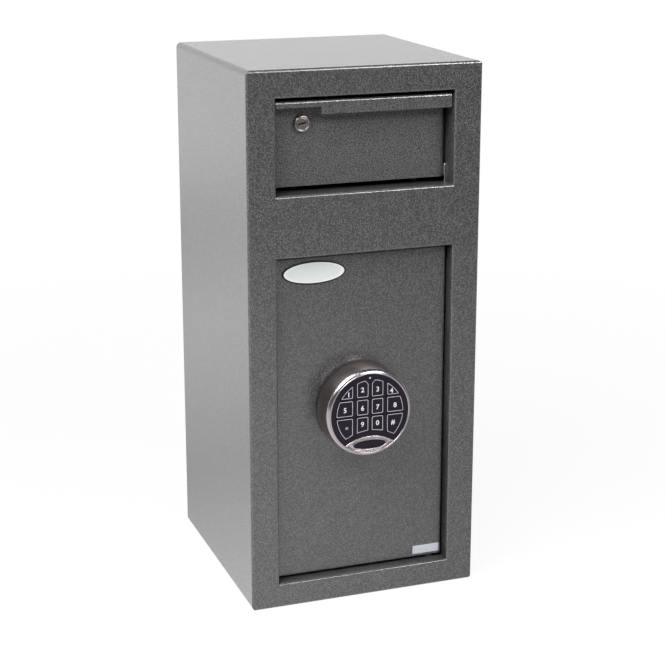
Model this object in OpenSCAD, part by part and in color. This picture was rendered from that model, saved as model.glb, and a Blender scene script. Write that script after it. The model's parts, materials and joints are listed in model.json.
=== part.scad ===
// Deposit safe: a deposit flap with a key lock above a door with a turning keypad.
// Millimetres, +Z up, front towards -Y, origin on the floor at the centre of the base.
// At rest the door and the flap are closed, and both of their locks are drawn back.

/* [Body] */
// Width of the body
body_w = 230; // [215:5:300]
// Depth of the body, from the front face to the back
body_d = 240; // [220:5:340]
// Height of the body
body_h = 520; // [500:5:640]
// Thickness of the body sheet
wall = 3; // [2:0.5:4]
// Outside radius of the body's four long corners
corner_r = 5; // [4.5:0.5:8]
// Outside radius of the folds along the front edges
fold_r = 2.5; // [1.5:0.5:4]
// Depth of the front frame's outer returns
frame_return = 15; // [10:1:20]

/* [Front openings] */
// Frame beside each opening
side_margin = 27.5; // [25:0.5:30]
// Frame below the door opening
bottom_margin = 24; // [24:1:35]
// Frame between the two openings
middle_margin = 58; // [50:1:70]
// Frame above the flap opening
top_margin = 26; // [20:1:35]
// Height of the flap opening
flap_opening_h = 89.5; // [87:0.5:100]
// Depth of the reveal round the door opening
door_reveal = 25; // [24:0.5:28]
// Depth of the reveal round the flap opening
flap_reveal = 38.5; // [38:0.5:42]

/* [Door] */
// How far the door's face lies behind the front face
door_recess = 11; // [9:0.5:12]
// Thickness of the door sheet
door_sheet = 3; // [2.5:0.5:3.5]
// Depth of the door's folded returns
door_return = 12; // [10:0.5:13]
// Gap between the door and the sides and top of its opening
door_gap = 1.8; // [1.5:0.1:2.5]
// Gap under the door
door_sill_gap = 2.5; // [2:0.1:3.5]
// Distance of the hinge axis from the door's right edge
hinge_in = 12; // [10:0.5:14]
// Distance of the hinge axis behind the door's face
hinge_back = 6.5; // [6.5:0.1:7.5]
// Radius of the hinge pins
hinge_pin_r = 3.5; // [2.5:0.1:3.5]
// Height of the keypad's centre above the door's bottom edge
keypad_height = 168.5; // [160:0.5:172]
// Offset of the keypad from the middle of the door, negative to the left
keypad_offset = -3; // [-8:0.5:6]

/* [Badge and label] */
// Half width of the oval badge
badge_half_w = 31.5; // [28:0.5:33]
// Half height of the oval badge
badge_half_h = 11.15; // [9:0.05:12]
// Distance of the badge from the door's left edge
badge_in = 6.2; // [4:0.1:10]
// Distance of the badge below the door's top edge
badge_down = 4.75; // [3:0.05:8]
// Thickness of the badge
badge_t = 1.2; // [0.8:0.1:2]
// Width of the label
label_w = 31; // [24:1:40]
// Height of the label
label_h = 8.5; // [6:0.5:12]
// Distance of the label from the door's right edge
label_in = 1; // [0.5:0.5:4]
// Distance of the label above the door's bottom edge
label_up = 3.5; // [2.5:0.5:8]

/* [Boltwork] */
// Radius of the locking bolts
bolt_r = 6; // [5:0.5:7]
// Travel of the locking bolts
bolt_throw = 14; // [10:0.5:15]
// Distance of the lower bolt above the door's bottom edge, and of the upper one below its top
bolt_end = 58; // [50:1:66]
// How far the tips of the drawn bolts lie inside the door's edge
bolt_tip_in = 1.7; // [1:0.1:3]
// Length of the bolts in front of their carrier
bolt_l = 38; // [36:1:42]
// Radius of the spiral cam
cam_r = 33; // [33:0.5:36]
// Distance of the follower pin from the spindle with the bolts drawn back
follower_in = 13; // [12.5:0.5:14]
// Radius of the follower pin
follower_r = 3; // [2.5:0.1:3.2]
// Radius of the spindle
spindle_r = 5; // [4.5:0.1:5.5]
// Free depth behind the lead inside the cover
cover_room = 2.1; // [1:0.1:6]

/* [Keypad] */
// Largest radius of the keypad housing
housing_r = 43.8; // [43.8:0.1:46]
// Thickness of the fixed base under the keypad
base_t = 3; // [2.5:0.1:4]
// Radius of the keypad's black face
face_r = 38.9; // [38:0.1:39]
// Radius of the circle that bounds the keys
key_field_r = 34; // [33.5:0.1:34.5]
// Travel of a key
key_travel = 1.2; // [0.8:0.1:1.3]
// Height of the keys above the face
key_proud = 0.6; // [0.4:0.1:1]

/* [Flap] */
// How far the flap's face lies behind the front face
flap_recess = 18; // [17:0.5:19]
// Thickness of the flap sheet
flap_sheet = 2.5; // [2:0.5:2.5]
// Gap between the flap and the sides of its opening
flap_gap = 1.5; // [1.3:0.1:2]
// Gap between the flap and the top of its opening
flap_top_gap = 3.5; // [3:0.1:5]
// Gap between the flap and the sill of its opening
flap_sill_gap = 5.5; // [5.5:0.1:6.5]
// Radius of the flap's rounded side edges
flap_side_r = 5; // [4:0.5:6]
// How far the pull lip stands in front of the flap's face
lip_depth = 14; // [10:0.5:15]
// Height of the pull lip
lip_h = 13; // [10:0.5:16]
// Height of the pull lip above the flap lock, where it is cut away
lip_notch_h = 6; // [4:0.5:8]
// Length of the cut-away, from the flap's left edge
lip_notch_w = 43.3; // [40:0.1:50]
// Height of the hinge rod above the sill
rod_up = 9.5; // [9.5:0.1:11]
// Radius of the hinge rod
rod_r = 3.5; // [3:0.1:3.5]
// Reach of the hopper from the hinge rod
hopper_r = 72; // [66:1:73]
// Slope of the hopper's floor, down towards the back, in degrees
hopper_slope = 12.3; // [8:0.1:14]

/* [Flap lock] */
// Distance of the flap lock from the flap's left edge
lock_in = 28.8; // [28:0.1:32]
// Distance of the flap lock below the flap's top edge
lock_down = 22.5; // [22.5:0.1:24]
// Radius of the flap lock's bezel
lock_bezel_r = 8.5; // [8:0.1:9]
// Radius of the flap lock's plug
lock_plug_r = 5.5; // [5:0.1:5.8]
// Reach of the flap lock's cam from the plug's axis
lock_cam_reach = 31; // [30:0.5:33]

/* [Anchoring] */
// Distance between the anchor holes across the body
anchor_x = 130; // [100:5:150]
// Distance between the anchor holes from front to back
anchor_y = 130; // [100:5:150]
// Radius of the anchor holes
anchor_r = 6; // [5:0.5:7]

/* [Hidden] */
$fn = 96;

// Colours
paint = [0.38, 0.38, 0.39];
zinc = [0.72, 0.73, 0.75];
gunmetal = [0.45, 0.42, 0.42];
black_gloss = [0.08, 0.08, 0.1];
black_plastic = [0.12, 0.12, 0.13];
silver = [0.8, 0.81, 0.81];
brass = [0.78, 0.62, 0.32];
board_green = [0.1, 0.35, 0.2];
rubber = [0.1, 0.1, 0.1];

// Clearances
run_fit = 0.05;
seat_fit = 0.02;
touch = 0.3;

// Planes of the body
front_y = -body_d / 2;
back_y = body_d / 2;
inner_w = body_w - 2 * wall;
roof_z = body_h - wall;
opening_w = body_w - 2 * side_margin;
opening_x = opening_w / 2;
flap_z1 = body_h - top_margin;
flap_z0 = flap_z1 - flap_opening_h;
door_z1 = flap_z0 - middle_margin;
door_z0 = bottom_margin;
back_inset = 0.6;

// Planes of the door
door_y = front_y + door_recess;
door_back_y = door_y + door_sheet;
door_x = opening_x - door_gap;
door_low = door_z0 + door_sill_gap;
door_top = door_z1 - door_gap;
door_fold_r = 2;
hinge_x = door_x - hinge_in;
hinge_y = door_y + hinge_back;
bush_h = 8;
bush_r = 7;
block_h = 20;
block_in = 7.5;
pin_end = 1;
pin_in_block = 16;

// Keypad, with its levels counted outwards from the door's face
keypad_x = keypad_offset;
keypad_z = door_low + keypad_height;
turn_gap = 0.4;
floor_k = base_t + turn_gap;
floor_t = 2.6;
cavity_k = floor_k + floor_t;
flange_t = 1.2;
battery_t = 17.5;
battery_k = cavity_k + flange_t + 0.1;
board_k = battery_k + battery_t + 0.1;
board_t = 1.6;
key_flange_t = 0.8;
key_flange_k = board_k + board_t + key_travel + 0.2;
plate_k = key_flange_k + key_flange_t + 0.1;
plate_t = 1.8;
plate_top_k = plate_k + plate_t;
ledge_r = face_r - 1.4;
shoulder_r = 4.5;
barrel_r = 100;
barrel_mid_k = 15;
bead_out_r = face_r + 1.1;
cavity_r = bead_out_r;
rib_count = 8;
rib_half = 2;
pillar_at = 33;
pillar_r = 2.5;
bead_top_k = plate_top_k + 0.7;
crescent_arc_r = 42.8;
crescent_arc_v = -65.1;
crescent_top_k = bead_top_k;
window_half_w = 16.4;
window_half_h = 4.5;
window_v = -30.8;
led_v = 35;
led_cut = 4.4;
key_lower_arc_r = 48;
key_fit = 0.2;
key_lip = 0.45;
cols = [[-40, -16.9], [-13.6, -1.4], [1.4, 13.6], [16.9, 40]];
rows = [[16.4, 40], [-1, 14.7], [-40, -2.6]];
battery_w = 26.5;
battery_h = 48.5;
battery_u1 = sqrt(pow(cavity_r - 0.6, 2) - pow(battery_h / 2, 2));
battery_u0 = battery_u1 - battery_w;

// Boltwork, with the bolts drawn back
bolt_tip_x = bolt_tip_in - door_x;
bolt_behind = 4;
bolt_y = front_y + door_reveal + bolt_behind + bolt_r;
bolt_zs = [door_low + bolt_end, door_top - bolt_end];
tab_x = bolt_tip_x + bolt_l;
tab_t = 3;
spigot_r = 4;
bar_t = 3;
bar_y = bolt_y + bolt_r + 1;
bar_x0 = tab_x - 4;
bar_w = 30;
bar_x1 = bar_x0 + bar_w;
bar_over = 12;
stud_x = bar_x0 + 8;
stud_r = 4;
stud_zs = [for (z = bolt_zs) (z + keypad_z) / 2];
cam_t = 4;
nut_t = 4;
nut_gap = 2;
cam_y = bar_y - nut_gap - nut_t - cam_t;
cam_back_y = cam_y + cam_t;
spindle_end_y = cam_back_y + nut_t + 0.5;
bore_r = spindle_r - 2.4;
slot_fit = 0.2;
spiral_turn = 90;
notch_depth = 5;
notch_fit = 0.3;
lock_pin_r = 3;
lock_pin_l = 29;
lock_pin_y = cam_y + cam_t / 2;
lock_pin_tip = keypad_z - cam_r - 1;
unit_w = 64;
unit_h = 52;
unit_top = lock_pin_tip - 9;
unit_x0 = max(keypad_x - unit_w / 2, stud_x + stud_r + 3);
unit_back_y = lock_pin_y + 6;
cable_r = 1.5;
cable_bend = 5;
cover_sheet = 1.2;
cover_in_left = 8.7;
cover_end = 16;
cover_x0 = cover_in_left - door_x;
cover_x1 = hinge_x - block_in - 4.2;
cover_z0 = door_low + cover_end;
cover_z1 = door_top - cover_end;
cover_y0 = door_back_y + touch;
cable_y = spindle_end_y + 0.5 + cable_bend;
cover_back_y = cable_y + cable_r + cover_room + cover_sheet;
post_r = 4;
post_in = 10;
post_xs = [cover_x0 + post_in, cover_x1 - post_in];
post_zs = [cover_z0 + post_in, cover_z1 - post_in];

// Flap, hopper and their hinge rod
flap_y = front_y + flap_recess;
flap_back_y = flap_y + flap_sheet;
flap_x = opening_x - flap_gap;
flap_low = flap_z0 + flap_sill_gap;
flap_top = flap_z1 - flap_top_gap;
flap_pan_d = 14;
rod_y = flap_back_y + 5.5;
rod_z = flap_z0 + rod_up;
lip_y = flap_y - lip_depth;
cheek_t = 2;
cheek_x = flap_x - 5;
hopper_floor_up = 10;
hopper_sheet = 2;
spring_wire = 1;
spring_coil_r = rod_r + touch + spring_wire / 2;
spring_turns = 3;
baffle_t = 2;
baffle_y = rod_y + 56;
baffle_clear = 2;
tooth_pitch = 15;
tooth_h = 8;

// Flap lock
lock_x = lock_in - flap_x;
lock_z = flap_top - lock_down;
lock_barrel_r = 7.5;
lock_proud = 4;
lock_plug_out = lock_proud - 0.5;
lock_slot_turn = 12;
keyway_half = 3.4;
keyway_t = 1.2;
lock_cam_y = front_y + flap_reveal + 0.6;
lock_cam_t = 2;

// Shapes

// Box between two opposite corners
module block(x0, x1, y0, y1, z0, z1) {
    translate([x0, y0, z0]) cube([x1 - x0, y1 - y0, z1 - z0]);
}

// Cylinder along X
module bar_x(r, x0, x1) {
    translate([x0, 0, 0]) rotate([0, 90, 0]) cylinder(r = r, h = x1 - x0);
}

// Cylinder along Y
module bar_y(r, y0, y1) {
    translate([0, y0, 0]) rotate([-90, 0, 0]) cylinder(r = r, h = y1 - y0);
}

// Outline in X and Z, carried along Y
module along_y(y0, y1) {
    translate([0, y1, 0]) rotate([90, 0, 0]) linear_extrude(y1 - y0) children();
}

// Outline in Y and Z, carried along X
module along_x(x0, x1) {
    translate([x0, 0, 0]) rotate([90, 0, 90]) linear_extrude(x1 - x0) children();
}

// Outline in X and Y, carried along Z
module along_z(z0, z1) {
    translate([0, 0, z0]) linear_extrude(z1 - z0) children();
}

// Rectangle with four round corners
module round_rect(x0, x1, y0, y1, r) {
    translate([x0 + r, y0]) square([x1 - x0 - 2 * r, y1 - y0]);
    translate([x0, y0 + r]) square([x1 - x0, y1 - y0 - 2 * r]);
    for (x = [x0 + r, x1 - r], y = [y0 + r, y1 - r])
        translate([x, y]) circle(r);
}

// Rectangle across X whose two front corners are round
module front_round(half_w, depth, r) {
    translate([-half_w, r]) square([2 * half_w, depth - r]);
    translate([r - half_w, 0]) square([2 * (half_w - r), depth]);
    for (x = [r - half_w, half_w - r])
        translate([x, r]) circle(r);
}

// Box with round folds at its front and round corners that run from front to back
module soft_box(half_w, z0, z1, y0, y1, r_corner, r_fold) {
    mid = (z0 + z1) / 2;
    intersection() {
        along_y(y0, y1) round_rect(-half_w, half_w, z0, z1, r_corner);
        along_z(z0 - 1, z1 + 1) translate([0, y0]) front_round(half_w, y1 - y0, r_fold);
        translate([0, 0, mid]) rotate([0, 90, 0]) along_z(-half_w - 1, half_w + 1)
            translate([0, y0]) front_round((z1 - z0) / 2, y1 - y0, r_fold);
    }
}

// Outline of an opening that flares at the front like a folded lip
module flare(half_w, depth, r) {
    translate([-half_w, 0]) square([2 * half_w, depth]);
    difference() {
        translate([-half_w - r, -1]) square([2 * (half_w + r), r + 1]);
        for (x = [-half_w - r, half_w + r])
            translate([x, r]) circle(r);
    }
}

// Tool that cuts an opening with folded lips, from the front face to the depth given
module opening_tool(half_w, z0, z1, y0, depth, r) {
    mid = (z0 + z1) / 2;
    intersection() {
        along_z(z0 - r - 1, z1 + r + 1) translate([0, y0]) flare(half_w, depth, r);
        translate([0, 0, mid]) rotate([0, 90, 0]) along_z(-half_w - r - 1, half_w + r + 1)
            translate([0, y0]) flare((z1 - z0) / 2, depth, r);
    }
}

// Ellipse from its half axes
module oval(a, b) {
    polygon([for (t = [0:4:356]) [a * cos(t), b * sin(t)]]);
}

// Pan-head screw along Y, its head towards +Y
module pan_screw(r, head_r, head_t, y_tip, y_seat) {
    bar_y(r, y_tip, y_seat);
    difference() {
        bar_y(head_r, y_seat, y_seat + head_t);
        for (a = [0, 90])
            rotate([0, a, 0])
                block(-head_r * 0.6, head_r * 0.6, y_seat + head_t - 0.8, y_seat + head_t + 1, -0.4, 0.4);
    }
}

// Moves children to the middle of the keypad
module at_keypad() {
    translate([keypad_x, 0, keypad_z]) children();
}

// Outline around the keypad's middle, carried between two levels above the door's face
module keypad_layer(k0, k1) {
    at_keypad() along_y(door_y - k1, door_y - k0) children();
}

// Outline in radius and level, turned around the keypad's axis
module keypad_ring() {
    at_keypad() translate([0, door_y, 0]) rotate([90, 0, 0]) rotate_extrude() children();
}

// Body

module body_wrap() {
    color(paint) difference() {
        along_y(front_y + frame_return, back_y)
            round_rect(-body_w / 2, body_w / 2, 0, body_h, corner_r);
        along_y(front_y, back_y + 1)
            round_rect(-inner_w / 2, inner_w / 2, wall, roof_z, corner_r - wall);
        for (x = [-1, 1], y = [-1, 1])
            translate([x * anchor_x / 2, y * anchor_y / 2, -1]) cylinder(r = anchor_r, h = wall + 2);
    }
}

module reveal_tube(z0, z1, depth) {
    block(-opening_x - wall, opening_x + wall, front_y + wall, front_y + depth, z0 - wall, z1 + wall);
}

module front_frame() {
    color(paint) difference() {
        union() {
            difference() {
                soft_box(body_w / 2, 0, body_h, front_y, front_y + frame_return, corner_r, fold_r);
                along_y(front_y + wall, front_y + frame_return + 1)
                    round_rect(-inner_w / 2, inner_w / 2, wall, roof_z, corner_r - wall);
            }
            reveal_tube(door_z0, door_z1, door_reveal);
            reveal_tube(flap_z0, flap_z1, flap_reveal);
        }
        opening_tool(opening_x, door_z0, door_z1, front_y, door_reveal + 1, fold_r - 0.5);
        opening_tool(opening_x, flap_z0, flap_z1, front_y, flap_reveal + 1, fold_r - 0.5);
        for (z = [door_z0 - wall / 2, door_z1 + wall / 2])
            translate([hinge_x, hinge_y, z - wall]) cylinder(r = hinge_pin_r + run_fit, h = 2 * wall);
        for (x = [-opening_x - wall - 1, opening_x - 1])
            translate([0, rod_y, rod_z]) bar_x(rod_r + seat_fit, x, x + wall + 2);
    }
}

module back_panel() {
    color(paint) along_y(back_y - back_inset - wall, back_y - back_inset)
        round_rect(-inner_w / 2, inner_w / 2, wall, roof_z, corner_r - wall);
}

chute_t = 2;
chute_run = 61.5;
chute_angle = 35;
chute_edge_h = 12;
chute_y0 = front_y + flap_reveal;
chute_y1 = chute_y0 + chute_run;
chute_z1 = flap_z0 - chute_run * tan(chute_angle);

module chute_plate() {
    below = chute_t / cos(chute_angle);
    color(paint) along_x(-inner_w / 2, inner_w / 2) polygon([
        [chute_y0, flap_z0],
        [chute_y1, chute_z1],
        [chute_y1, chute_z1 - chute_edge_h],
        [chute_y1 - chute_t, chute_z1 - chute_edge_h],
        [chute_y1 - chute_t, chute_z1 + chute_t * tan(chute_angle) - below],
        [chute_y0, flap_z0 - below]]);
}

baffle_tip_z = rod_z + sqrt(pow(hopper_r + baffle_clear, 2) - pow(baffle_y - rod_y, 2));
baffle_half = inner_w / 2 - 2;
baffle_flange = 20;
teeth = floor(2 * baffle_half / tooth_pitch);
teeth_x0 = -teeth * tooth_pitch / 2;

module antifish_baffle() {
    color(paint) {
        along_y(baffle_y, baffle_y + baffle_t) polygon(concat(
            [[baffle_half, baffle_tip_z + tooth_h], [baffle_half, roof_z],
            [-baffle_half, roof_z], [-baffle_half, baffle_tip_z + tooth_h]],
            [for (i = [0:teeth - 1], s = [0, 1])
                [teeth_x0 + (i + s / 2) * tooth_pitch, baffle_tip_z + (1 - s) * tooth_h]],
            [[-teeth_x0, baffle_tip_z + tooth_h]]));
        block(-baffle_half, baffle_half, baffle_y + baffle_t, baffle_y + baffle_flange,
            roof_z - baffle_t, roof_z);
    }
}

strike_over = 22;
strike_depth = 23;

module strike_plate() {
    color(zinc) difference() {
        block(-opening_x - wall, -opening_x, front_y + door_reveal,
            front_y + door_reveal + strike_depth, bolt_zs[0] - strike_over, bolt_zs[1] + strike_over);
        for (z = bolt_zs)
            translate([0, bolt_y, z]) bar_x(bolt_r + 0.5, -opening_x - wall - 1, -opening_x + 1);
    }
}

stop_in = 20;
stop_h = 8.5;
stop_t = 2.5;
stop_y = door_y + door_return + touch;

module door_stops() {
    color(paint) for (z = [door_z0, door_z1 - stop_h])
        block(stop_in - door_x, hinge_x - stop_in, stop_y, stop_y + stop_t, z, z + stop_h);
}

module hinge_bushes() {
    color(zinc) for (z = [door_z0 - wall - bush_h, door_z1 + wall])
        translate([hinge_x, hinge_y, z]) difference() {
            cylinder(r = bush_r, h = bush_h);
            translate([0, 0, -1]) cylinder(r = hinge_pin_r + run_fit, h = bush_h + 2);
        }
}

washer_wall = 1.9;

module hinge_washer() {
    color(black_plastic) translate([hinge_x, hinge_y, door_z0]) difference() {
        cylinder(r = hinge_pin_r + washer_wall, h = door_sill_gap - 0.1);
        translate([0, 0, -1]) cylinder(r = hinge_pin_r + 0.1, h = door_sill_gap + 2);
    }
}

rod_past_wall = 3;
rod_end_x = opening_x + wall + rod_past_wall;
clip_wall = 3;
clip_t = 1.5;

module flap_rod() {
    color(zinc) translate([0, rod_y, rod_z]) bar_x(rod_r, -rod_end_x, rod_end_x);
}

module rod_clips() {
    color(zinc) for (s = [-1, 1])
        translate([s * (opening_x + wall + clip_t / 2 + 0.1), rod_y, rod_z]) difference() {
            bar_x(rod_r + clip_wall, -clip_t / 2, clip_t / 2);
            bar_x(rod_r + seat_fit, -clip_t, clip_t);
        }
}

// Closing spring: a coil round the rod, whose end rises in the side gap, turns over in a
// hairpin and stands down to the sill
spring_ring_steps = 8;
spring_x0 = cheek_x + 0.3 + spring_wire / 2;
spring_x1 = opening_x - 0.2 - spring_wire / 2;
spring_rings = spring_ring_steps * spring_turns;
spring_leg = rod_up - touch;
spring_rise = 6.5;
spring_hairpin = 1;
spring_path = concat(
    [for (i = [0:spring_rings])
        let (a = 180 - 360 * i / spring_ring_steps)
        let (x = spring_x0 + (spring_x1 - spring_x0) * i / spring_rings)
        [x, spring_coil_r * cos(a), spring_coil_r * sin(a)]],
    [for (a = [0:45:180])
        [spring_x1, -spring_coil_r - spring_hairpin * (1 - cos(a)),
            spring_rise + spring_hairpin * sin(a)]],
    [[spring_x1, -spring_coil_r - 2 * spring_hairpin, -spring_leg]]);
spring_gaps = [for (i = [0:spring_rings], j = [i + spring_ring_steps - 2:1:len(spring_path) - 1])
    norm(spring_path[j] - spring_path[i]) - spring_wire];

function unit(v) = v / norm(v);
function tangent(path, i) =
    unit(path[min(i + 1, len(path) - 1)] - path[max(i - 1, 0)]);
function ring(path, i, r, sides) =
    let (t = i == len(path) - 1 ? unit(path[i] - path[i - 1]) : tangent(path, i),
        a = unit([1, 0, 0] - t[0] * t), b = cross(t, a))
    [for (s = [0:sides - 1])
        path[i] + r * (cos(360 * s / sides) * a + sin(360 * s / sides) * b)];

// Unbroken tube through the points of a path that never runs along X
module tube(path, r, sides) {
    n = len(path);
    points = [for (i = [0:n - 1]) each ring(path, i, r, sides)];
    skin = [for (i = [0:n - 2], s = [0:sides - 1])
        let (p = i * sides + s, q = i * sides + (s + 1) % sides)
        each [[p, q, q + sides], [p, q + sides, p + sides]]];
    caps = [for (s = [1:sides - 2])
        each [[0, s + 1, s], [(n - 1) * sides, (n - 1) * sides + s, (n - 1) * sides + s + 1]]];
    polyhedron(points, concat(skin, caps));
}

module flap_spring() {
    echo(str("flap_spring: least gap between its turns ", min(spring_gaps), " mm"));
    color(silver) translate([0, rod_y, rod_z]) tube(spring_path, spring_wire / 2, 6);
}

buffer_r = 4;
buffer_x = 60;
buffer_y = rod_y + rod_r + buffer_r + 0.5;
buffer_top = rod_z + hopper_floor_up - hopper_sheet / cos(hopper_slope) - touch
    - (buffer_y + buffer_r - flap_back_y) * tan(hopper_slope);

module flap_buffers() {
    color(rubber) for (x = [-buffer_x, buffer_x])
        translate([x, buffer_y, flap_z0]) cylinder(r = buffer_r, h = buffer_top - flap_z0);
}

// Door

module door_pan() {
    color(paint) difference() {
        union() {
            difference() {
                soft_box(door_x, door_low, door_top, door_y, door_y + door_return,
                    door_fold_r, door_fold_r);
                block(door_sheet - door_x, door_x - door_sheet, door_back_y, door_y + door_return + 1,
                    door_low + door_sheet, door_top - door_sheet);
            }
            for (x = post_xs, z = post_zs)
                translate([x, 0, z]) bar_y(post_r, door_back_y, cover_back_y - cover_sheet);
        }
        for (x = post_xs, z = post_zs)
            translate([x, 0, z]) bar_y(cover_screw_r + seat_fit,
                cover_back_y - cover_screw_l - 2, cover_back_y);
        at_keypad() bar_y(bush_sleeve_r + seat_fit, door_y - 1, door_back_y + 1);
        for (s = [-1, 1])
            at_keypad() translate([s * base_screw_u, 0, 0])
                bar_y(2.1, door_y - 1, door_back_y + 1);
        translate([hinge_x, hinge_y, door_low - 1])
            cylinder(r = hinge_pin_r + seat_fit, h = door_sheet + 2);
        translate([hinge_x, hinge_y, door_top - door_sheet - 1])
            cylinder(r = hinge_pin_r + seat_fit, h = door_sheet + 2);
    }
}

module hinge_blocks() {
    color(zinc) for (z = [door_low + door_sheet, door_top - door_sheet - block_h])
        difference() {
            block(hinge_x - block_in, door_x - door_sheet, door_back_y, door_y + door_return, z, z + block_h);
            translate([hinge_x, hinge_y, z - 1])
                cylinder(r = hinge_pin_r + seat_fit, h = block_h + 2);
        }
}

module hinge_pins() {
    inside = door_sheet + pin_in_block;
    outside = wall + bush_h - pin_end;
    color(silver) translate([hinge_x, hinge_y, 0]) {
        translate([0, 0, door_z0 - outside])
            cylinder(r = hinge_pin_r, h = outside + door_sill_gap + inside);
        translate([0, 0, door_top - inside])
            cylinder(r = hinge_pin_r, h = inside + door_gap + outside);
    }
}

badge_rim = 1.2;
badge_rim_t = 0.4;

module badge() {
    face_y = door_y - badge_t + badge_rim_t;
    color(silver)
        translate([badge_in + badge_half_w - door_x, 0, door_top - badge_down - badge_half_h]) {
            along_y(face_y, door_y) oval(badge_half_w, badge_half_h);
            along_y(door_y - badge_t, face_y) oval(badge_half_w - badge_rim, badge_half_h - badge_rim);
        }
}

label_t = 0.3;

module serial_label() {
    x1 = door_x - label_in;
    z0 = door_low + label_up;
    color(silver) block(x1 - label_w, x1, door_y - label_t, door_y, z0, z0 + label_h);
}

module inner_cover() {
    color(paint) difference() {
        block(cover_x0, cover_x1, cover_y0, cover_back_y, cover_z0, cover_z1);
        block(cover_x0 + cover_sheet, cover_x1 - cover_sheet, cover_y0 - 1, cover_back_y - cover_sheet,
            cover_z0 + cover_sheet, cover_z1 - cover_sheet);
        for (z = bolt_zs)
            translate([0, bolt_y, z]) bar_x(bolt_r + 1, cover_x0 - 1, cover_x0 + cover_sheet + 1);
        for (x = post_xs, z = post_zs)
            translate([x, 0, z]) bar_y(cover_screw_r + 0.2, cover_back_y - 2 * cover_sheet,
                cover_back_y + 1);
    }
}

cover_screw_r = 2;
cover_screw_head_r = 4;
cover_screw_head_t = 2.4;
cover_screw_l = 10;

module cover_screws() {
    color(zinc) for (x = post_xs, z = post_zs)
        translate([x, 0, z]) pan_screw(cover_screw_r, cover_screw_head_r, cover_screw_head_t,
            cover_back_y - cover_screw_l, cover_back_y);
}

guide_t = 4;
guide_x = cover_x0 + 5;
guide_half = 14;

module bolt_guides() {
    color(zinc) for (z = bolt_zs)
        translate([0, 0, z]) difference() {
            union() {
                block(guide_x, guide_x + guide_t, door_back_y, bolt_y + bolt_r + 3, -guide_half, guide_half);
                block(guide_x, guide_x + guide_half, door_back_y, door_back_y + 3, -guide_half, guide_half);
            }
            translate([0, bolt_y, 0]) bar_x(bolt_r + run_fit, guide_x - 1, guide_x + guide_t + 1);
        }
}

module bar_studs() {
    color(zinc) for (z = stud_zs)
        translate([stud_x, 0, z]) {
            bar_y(stud_r + 2, door_back_y, bar_y - run_fit);
            bar_y(stud_r, bar_y - run_fit, bar_y + bar_t + run_fit);
            bar_y(stud_r + 1.5, bar_y + bar_t + run_fit, bar_y + bar_t + 1.5);
        }
}

unit_ear = 8;
unit_ear_t = 4;
unit_ear_in = 16;
unit_corner_r = 4;
unit_screw_z = unit_top - unit_h / 2;
pin_bore_deep = 22;
screw_r = 2;

module lock_unit() {
    color(zinc) difference() {
        union() {
            along_y(door_back_y, unit_back_y)
                round_rect(unit_x0, unit_x0 + unit_w, unit_top - unit_h, unit_top, unit_corner_r);
            for (p = unit_screws)
                block(p[0] - unit_ear, p[0] + unit_ear, door_back_y, door_back_y + unit_ear_t,
                    p[1] - unit_ear, p[1] + unit_ear);
        }
        translate([keypad_x, lock_pin_y, unit_top - pin_bore_deep])
            cylinder(r = lock_pin_r + run_fit, h = pin_bore_deep + 1);
        for (p = unit_screws)
            translate([p[0], 0, p[1]])
                bar_y(screw_r + 0.1, door_back_y - 1, door_back_y + unit_ear_t + 1);
    }
}

unit_screws = [[unit_x0 + unit_w + unit_ear, unit_screw_z],
    [unit_x0 + unit_ear_in + unit_ear, unit_top - unit_h - unit_ear]];

module lock_unit_screws() {
    color(zinc) for (p = unit_screws)
        translate([p[0], 0, p[1]])
            pan_screw(screw_r, 3.8, 2.2, door_back_y, door_back_y + unit_ear_t);
}

bush_sleeve_r = spindle_r + 2;
base_screw_u = 24;

module spindle_bush() {
    color(brass) at_keypad() difference() {
        union() {
            bar_y(bush_sleeve_r, door_y, door_back_y);
            bar_y(bush_sleeve_r + 3, door_back_y, door_back_y + 2);
        }
        bar_y(spindle_r + run_fit, door_y - 1, door_back_y + 3);
    }
}

base_r = housing_r - 0.6;

module keypad_base() {
    color(black_plastic) difference() {
        union() {
            keypad_layer(0, base_t - 1) circle(base_r);
            keypad_layer(base_t - 1, base_t) circle(base_r - 0.8);
        }
        keypad_layer(-1, base_t + 1) circle(spindle_r + 0.3);
        for (s = [-1, 1])
            keypad_layer(-1, base_t - 0.6) translate([s * base_screw_u, 0]) circle(2 + seat_fit);
    }
}

module keypad_base_screws() {
    color(zinc) for (s = [-1, 1])
        at_keypad() translate([s * base_screw_u, 0, 0])
            pan_screw(2, 3.8, 2.2, door_y - base_t + 0.8, door_back_y);
}

cable_in_top = 14;
cable_low_z = unit_top - cable_in_top;

// Lead from the circuit board, through the hollow spindle, down into the lock unit
module lock_cable() {
    color(black_plastic) translate([keypad_x, 0, 0]) {
        translate([0, 0, keypad_z]) bar_y(cable_r, door_y - board_k, cable_y - cable_bend);
        translate([0, cable_y - cable_bend, keypad_z - cable_bend]) rotate([90, 0, 90])
            rotate_extrude(angle = 90) translate([cable_bend, 0]) circle(cable_r);
        translate([0, cable_y, cable_low_z]) cylinder(r = cable_r, h = keypad_z - cable_bend - cable_low_z);
        translate([0, cable_y - cable_bend, cable_low_z]) rotate([90, 0, 90]) rotate([0, 0, -90])
            rotate_extrude(angle = 90) translate([cable_bend, 0]) circle(cable_r);
        translate([0, 0, cable_low_z - cable_bend]) bar_y(cable_r, unit_back_y, cable_y - cable_bend);
    }
}

// Turning keypad

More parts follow.
